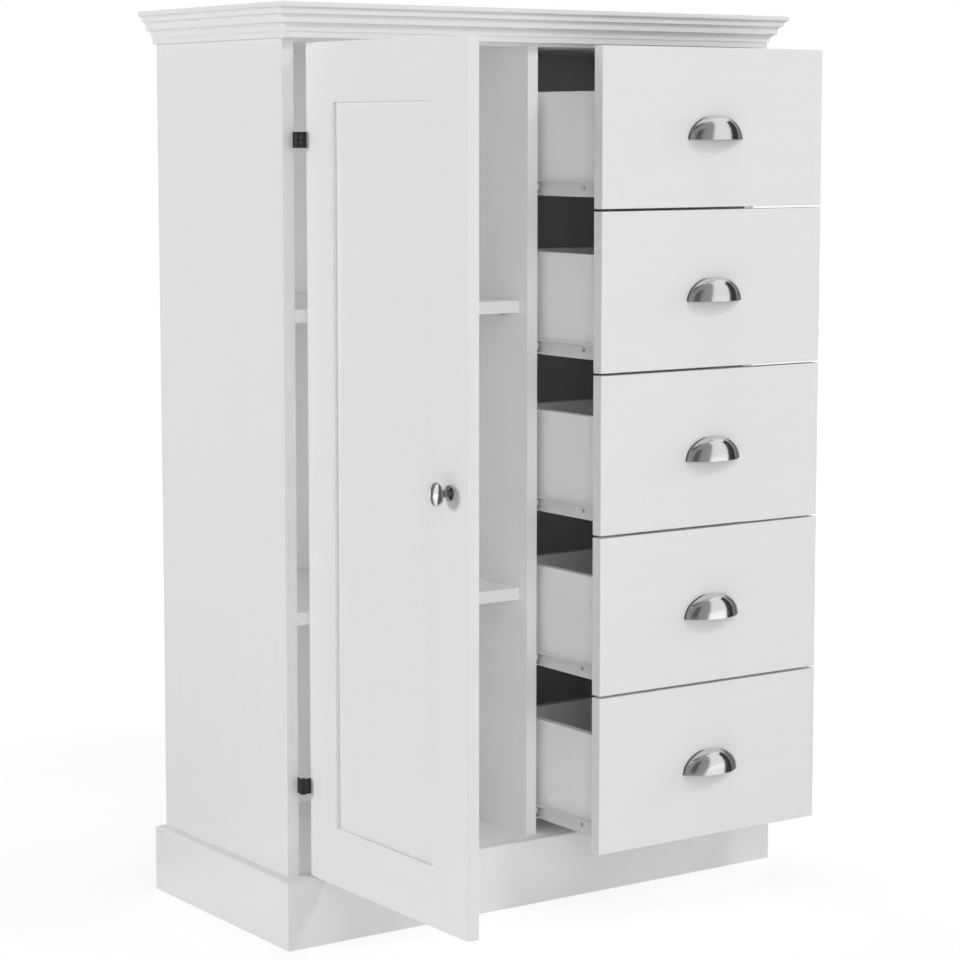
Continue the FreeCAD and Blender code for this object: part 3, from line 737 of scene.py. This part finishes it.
def pull_shell(shape, foot, half_width, projection, height):
    """One skin of the cup, in level rows from lip to top; foot is the middle of its back edge."""
    rows = []
    for ring in range(PULL_RINGS + 1):
        lift = math.pi / 2 * ring / PULL_RINGS
        share = max(math.cos(lift), PULL_TIP_SHARE)
        bevel = PULL_RIM_BEVEL * share
        bulge = max(1 - math.sin(lift) ** PULL_SQUARENESS, 0.0) ** (1 / PULL_SQUARENESS)
        rise = max((projection - PULL_RIM) * bulge, bevel)
        section = pull_section(half_width * share, rise, bevel)
        level = height * math.sin(lift)
        rows.append([shape.verts.new(foot + Vector((x, -out, level))) for x, out in section])
    join_rows(shape, rows, closed=False)
    return rows


def pull_mesh(shape, low, high):
    """A half-moon cup pull that fills the given box."""
    foot = Vector(((low.x + high.x) / 2, high.y, low.z))
    size = ((high.x - low.x) / 2, high.y - low.y, high.z - low.z)
    outer = pull_shell(shape, foot, *size)
    inner = pull_shell(shape, foot, *(length - PULL_WALL for length in size))
    ring_faces(shape, outer[0], inner[0], closed=False)
    for end in (0, -1):
        outer_edge = [row[end] for row in outer]
        inner_edge = [row[end] for row in inner]
        ring_faces(shape, outer_edge, inner_edge, closed=False)
    ring_faces(shape, outer[-1], inner[-1], closed=False)
    bmesh.ops.remove_doubles(shape, verts=shape.verts, dist=MERGE_DISTANCE)


def make_pulls(material):
    """The cup pull of each drawer."""
    for number in DRAWERS:
        node = f"drawer_{number}_pull"
        low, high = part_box(node)
        piece = new_piece(
            f"cup_pull_{number}",
            f"drawer_{number}",
            lambda shape, low=low, high=high: pull_mesh(shape, low, high),
            material,
        )
        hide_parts(node)


# Fasteners and ribs

def drawer_webs(number):
    """Outer face of each drawer runner's web, and the direction out of it."""
    low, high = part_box(f"drawer_{number}_runners")
    return ((low.x + RUNNER_FLANGE, -ACROSS), (high.x - RUNNER_FLANGE, ACROSS))


def drawer_ribs(shape, number):
    """The pressed ribs near the front of both drawer runners."""
    low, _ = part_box(f"drawer_{number}_runners")
    for web, outwards in drawer_webs(number):
        for setback in RIB_SETBACKS:
            middle = Vector((web, low.y + setback, low.z + RIB_RISE))
            pressed_rib(shape, middle, outwards)


def roller_rivet(shape, web, along_runner, height, outwards):
    """The rivet head on the free end of a roller, whose axle starts at a place on a web."""
    axle = Vector((web, along_runner, height))
    roller_end = axle + outwards * (ROLLER_SEAT + ROLLER_WIDTH)
    turned(shape, RIVET_OUTLINE, roller_end, outwards, RIVET_SEGMENTS)


def pull_screws(shape, number):
    """The two screws of a cup pull, on the inside of the drawer front."""
    low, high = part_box(f"drawer_{number}_pull")
    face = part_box(f"drawer_{number}_front")[1].y
    middle = (low.x + high.x) / 2
    for side in (-1, 1):
        seat = Vector((middle + side * PULL_SCREW_SPREAD, face, low.z + PULL_SCREW_RISE))
        screw_head(shape, seat, BACKWARDS, *HANDLE_SCREW)


def drawer_fixings(shape, number):
    """The screws and roller rivets of both drawer runners, and the screws of the pull."""
    low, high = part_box(f"drawer_{number}_runners")
    for web, outwards in drawer_webs(number):
        for setback in DRAWER_SCREW_SETBACKS:
            seat = Vector((web, low.y + setback, low.z + DRAWER_SCREW_RISE))
            screw_head(shape, seat, outwards, *RUNNER_SCREW)
        axle_depth = high.y - REAR_ROLLER_INSET
        roller_rivet(shape, web, axle_depth, low.z + REAR_ROLLER_RISE, outwards)
    pull_screws(shape, number)


def cabinet_fixings(shape):
    """The screws of the cabinet runners and the rivets of their rollers."""
    low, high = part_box("cabinet_runners")
    axle_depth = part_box("cabinet_rollers")[0].y + ROLLER_RADIUS
    webs = ((low.x + RUNNER_STEEL, ACROSS), (high.x - RUNNER_STEEL, -ACROSS))
    for number in DRAWERS:
        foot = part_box(f"drawer_{number}_runners")[0].z
        for web, outwards in webs:
            for setback in CABINET_SCREW_SETBACKS:
                seat = Vector((web, low.y + setback, foot + CABINET_SCREW_RISE))
                screw_head(shape, seat, outwards, *RUNNER_SCREW)
            roller_rivet(shape, web, axle_depth, foot + FRONT_ROLLER_RISE, outwards)


def hinge_screw_heights(node):
    """Heights of the two screws of each hinge leaf."""
    low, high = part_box(node)
    centres = (low.z + HINGE_HEIGHT / 2, high.z - HINGE_HEIGHT / 2)
    return [centre + side * HINGE_SCREW_SPACING / 2 for centre in centres for side in (-1, 1)]


def cabinet_leaf_screws(shape):
    """The screws through the leaves on the side panel."""
    node = "hinge_cabinet_leaves"
    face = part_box("left_side_panel")[1].x
    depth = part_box(node)[1].y - CABINET_LEAF_SCREW_INSET
    for height in hinge_screw_heights(node):
        screw_head(shape, Vector((face, depth, height)), ACROSS, *HINGE_SCREW)


def door_leaf_screws(shape):
    """The screws through the leaves on the door's edge."""
    node = "hinge_door_leaves"
    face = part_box("door_hinge_stile")[1].y
    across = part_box(node)[1].x - DOOR_LEAF_SCREW_INSET
    for height in hinge_screw_heights(node):
        screw_head(shape, Vector((across, face, height)), BACKWARDS, *HINGE_SCREW)


def knob_screw(shape):
    """The screw that holds the knob, on the inside of the door."""
    seat = on_knob_axis(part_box("door_latch_stile")[1].x)
    screw_head(shape, seat, ACROSS, *HANDLE_SCREW)


def make_fixings(materials):
    """Every screw, rivet and rib that the solids leave out."""
    zinc = materials["zinc"]
    black = materials["black"]
    new_piece("cabinet_runner_fixings", "carcass", cabinet_fixings, zinc)
    new_piece("cabinet_leaf_screws", "carcass", cabinet_leaf_screws, black)
    new_piece("door_leaf_screws", "door", door_leaf_screws, black)
    new_piece("knob_screw", "door", knob_screw, zinc)
    for number in DRAWERS:
        body = f"drawer_{number}"
        new_piece(
            f"runner_ribs_{number}",
            body,
            lambda shape, number=number: drawer_ribs(shape, number),
            materials["runner"],
        )
        new_piece(
            f"drawer_fixings_{number}",
            body,
            lambda shape, number=number: drawer_fixings(shape, number),
            zinc,
        )


# Studio and camera

def end_by_ray(tree, output, lighting, seen):
    """Ends a tree in one shader where it lights other things, and another where it is seen."""
    path = tree.nodes.new("ShaderNodeLightPath")
    share = path.outputs[SEEN_RAYS[0]]
    for kind in SEEN_RAYS[1:]:
        share = worked_out(tree, "MAXIMUM", share, path.outputs[kind])
    mix = add_node(
        tree,
        "ShaderNodeMixShader",
        {"Fac": share, 1: lighting.outputs[0], 2: seen.outputs[0]},
    )
    fill(tree, tree.nodes[output], {"Surface": mix.outputs[0]})


def make_world():
    """Even studio light, white where the background is seen or mirrored."""
    world = bpy.data.worlds.new("studio")
    world.use_nodes = True
    bpy.context.scene.world = world
    tree = world.node_tree
    backdrop = tree.nodes["Background"]
    fill(tree, backdrop, {"Color": opaque(WHITE), "Strength": 1.0})
    light = add_node(
        tree,
        "ShaderNodeBackground",
        {"Color": opaque(WHITE), "Strength": WORLD_STRENGTH},
    )
    end_by_ray(tree, "World Output", light, backdrop)


def floor_glow(tree):
    """White light from the floor, weaker near the cabinet so that its shadow shows."""
    place = tree.nodes.new("ShaderNodeTexCoord")
    distance = add_node(tree, "ShaderNodeVectorMath", {0: place.outputs["Object"]})
    distance.operation = "LENGTH"
    strength = add_node(
        tree,
        "ShaderNodeMapRange",
        {
            "Value": distance.outputs["Value"],
            "From Min": FLOOR_GLOW_RADII[0],
            "From Max": FLOOR_GLOW_RADII[1],
            "To Min": FLOOR_GLOW_NEAR,
            "To Max": FLOOR_GLOW_FAR,
        },
    )
    strength.interpolation_type = "SMOOTHSTEP"
    return add_node(
        tree,
        "ShaderNodeEmission",
        {"Color": opaque(WHITE), "Strength": strength.outputs["Result"]},
    )


def floor_material():
    """Pale and glowing where it is seen, plain and paler for the light that it throws back."""
    material, tree = new_material("studio_floor")
    shader = tree.nodes["Principled BSDF"]
    fill(
        tree,
        shader,
        {"Base Color": opaque(FLOOR_COLOUR), "Roughness": 1.0, "Specular IOR Level": 0.0},
    )
    glow = floor_glow(tree)
    seen = add_node(tree, "ShaderNodeAddShader", {0: shader.outputs[0], 1: glow.outputs[0]})
    plain = add_node(tree, "ShaderNodeBsdfDiffuse", {"Color": opaque(FLOOR_BOUNCE_COLOUR)})
    end_by_ray(tree, "Material Output", plain, seen)
    return material


def make_floor():
    """A plain pale floor that keeps the cabinet's soft shadow."""
    half = FLOOR_SIZE / 2
    corners = [(-half, -half, 0), (half, -half, 0), (half, half, 0), (-half, half, 0)]
    mesh = bpy.data.meshes.new("floor")
    mesh.from_pydata(corners, [], [(0, 1, 2, 3)])
    mesh.materials.append(floor_material())
    floor = link_object("floor", mesh)


def flag_levels(radius, top):
    """Reach and height of a flag's rows, from the floor near the cabinet out and up a dome."""
    levels = [(FLAG_INNER_RADIUS, FLAG_LIFT)]
    for elevation in range(0, top + 1, FLAG_STEP):
        tilt = math.radians(elevation)
        levels.append((radius * math.cos(tilt), FLAG_LIFT + radius * math.sin(tilt)))
    return levels


def flag_mesh(name, first_bearing, last_bearing, radius, top):
    """A curved screen between two bearings, from the floor up to an elevation."""
    columns = math.ceil((last_bearing - first_bearing) / FLAG_STEP)
    shape = bmesh.new()
    rows = []
    for reach, height in flag_levels(radius, top):
        row = []
        for column in range(columns + 1):
            share = column / columns
            bearing = math.radians(first_bearing + share * (last_bearing - first_bearing))
            place = (
                FLAG_CENTRE[0] + reach * math.sin(bearing),
                FLAG_CENTRE[1] - reach * math.cos(bearing),
                height,
            )
            row.append(shape.verts.new(place))
        rows.append(row)
    join_rows(shape, rows, closed=False)
    mesh = bpy.data.meshes.new(name)
    shape.to_mesh(mesh)
    shape.free()
    return mesh


def flag_material(name, shade):
    """A plain grey that shines by itself."""
    material, tree = new_material(name)
    glow = add_node(tree, "ShaderNodeEmission", {"Color": opaque(WHITE), "Strength": shade})
    fill(tree, tree.nodes["Material Output"], {"Surface": glow.outputs[0]})
    return material


def make_flags():
    """The flags around the cabinet, seen by glossy rays alone."""
    for name, (first_bearing, last_bearing, radius, top, shade) in FLAGS.items():
        mesh = flag_mesh(name, first_bearing, last_bearing, radius, top)
        mesh.materials.append(flag_material(name, shade))
        flag = link_object(name, mesh)
        flag.visible_camera = False
        flag.visible_diffuse = False
        flag.visible_transmission = False
        flag.visible_volume_scatter = False
        flag.visible_shadow = False


def make_lamp(name, place, target, size, power):
    """A square softbox that faces a target point and doesn't show in mirrors."""
    data = bpy.data.lights.new(name, "AREA")
    data.shape = "SQUARE"
    data.size = size
    data.energy = power
    lamp = link_object(name, data)
    lamp.location = place
    lamp.rotation_euler = (target - place).to_track_quat("-Z", "Y").to_euler()
    lamp.visible_glossy = False


def make_lamps():
    """The softboxes around the cabinet, all aimed at its middle."""
    target = Vector(LAMP_TARGET)
    for name, (bearing, elevation, size, power) in SOFTBOXES.items():
        turn = math.radians(bearing)
        tilt = math.radians(elevation)
        away = Vector((
            math.cos(tilt) * math.sin(turn),
            -math.cos(tilt) * math.cos(turn),
            math.sin(tilt),
        ))
        make_lamp(name, target + away * LAMP_DISTANCE, target, size, power)


def make_camera():
    """The camera at the photograph's viewing angle."""
    data = bpy.data.cameras.new("camera")
    data.lens = CAMERA_LENS
    data.shift_y = CAMERA_SHIFT_Y
    camera = link_object("camera", data)
    camera.location = CAMERA_PLACE
    camera.rotation_euler = (
        math.radians(90 - CAMERA_DIP),
        0.0,
        math.radians(-CAMERA_TURN),
    )
    bpy.context.scene.camera = camera


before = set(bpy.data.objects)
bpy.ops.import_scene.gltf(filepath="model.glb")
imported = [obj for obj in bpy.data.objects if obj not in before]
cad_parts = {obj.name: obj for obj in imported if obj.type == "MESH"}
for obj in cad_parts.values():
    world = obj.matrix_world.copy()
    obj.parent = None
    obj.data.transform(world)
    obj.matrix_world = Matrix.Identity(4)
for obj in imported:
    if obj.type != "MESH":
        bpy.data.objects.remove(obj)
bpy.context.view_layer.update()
bpy.context.scene.view_settings.view_transform = "Standard"
bpy.context.scene.cycles.diffuse_bounces = LIGHT_BOUNCES

finishes = make_materials()
dress_nodes(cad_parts, finishes)
make_knob(finishes["knob"])
make_pulls(finishes["pull"])
make_fixings(finishes)
make_world()
make_floor()
make_flags()
make_lamps()
make_camera()
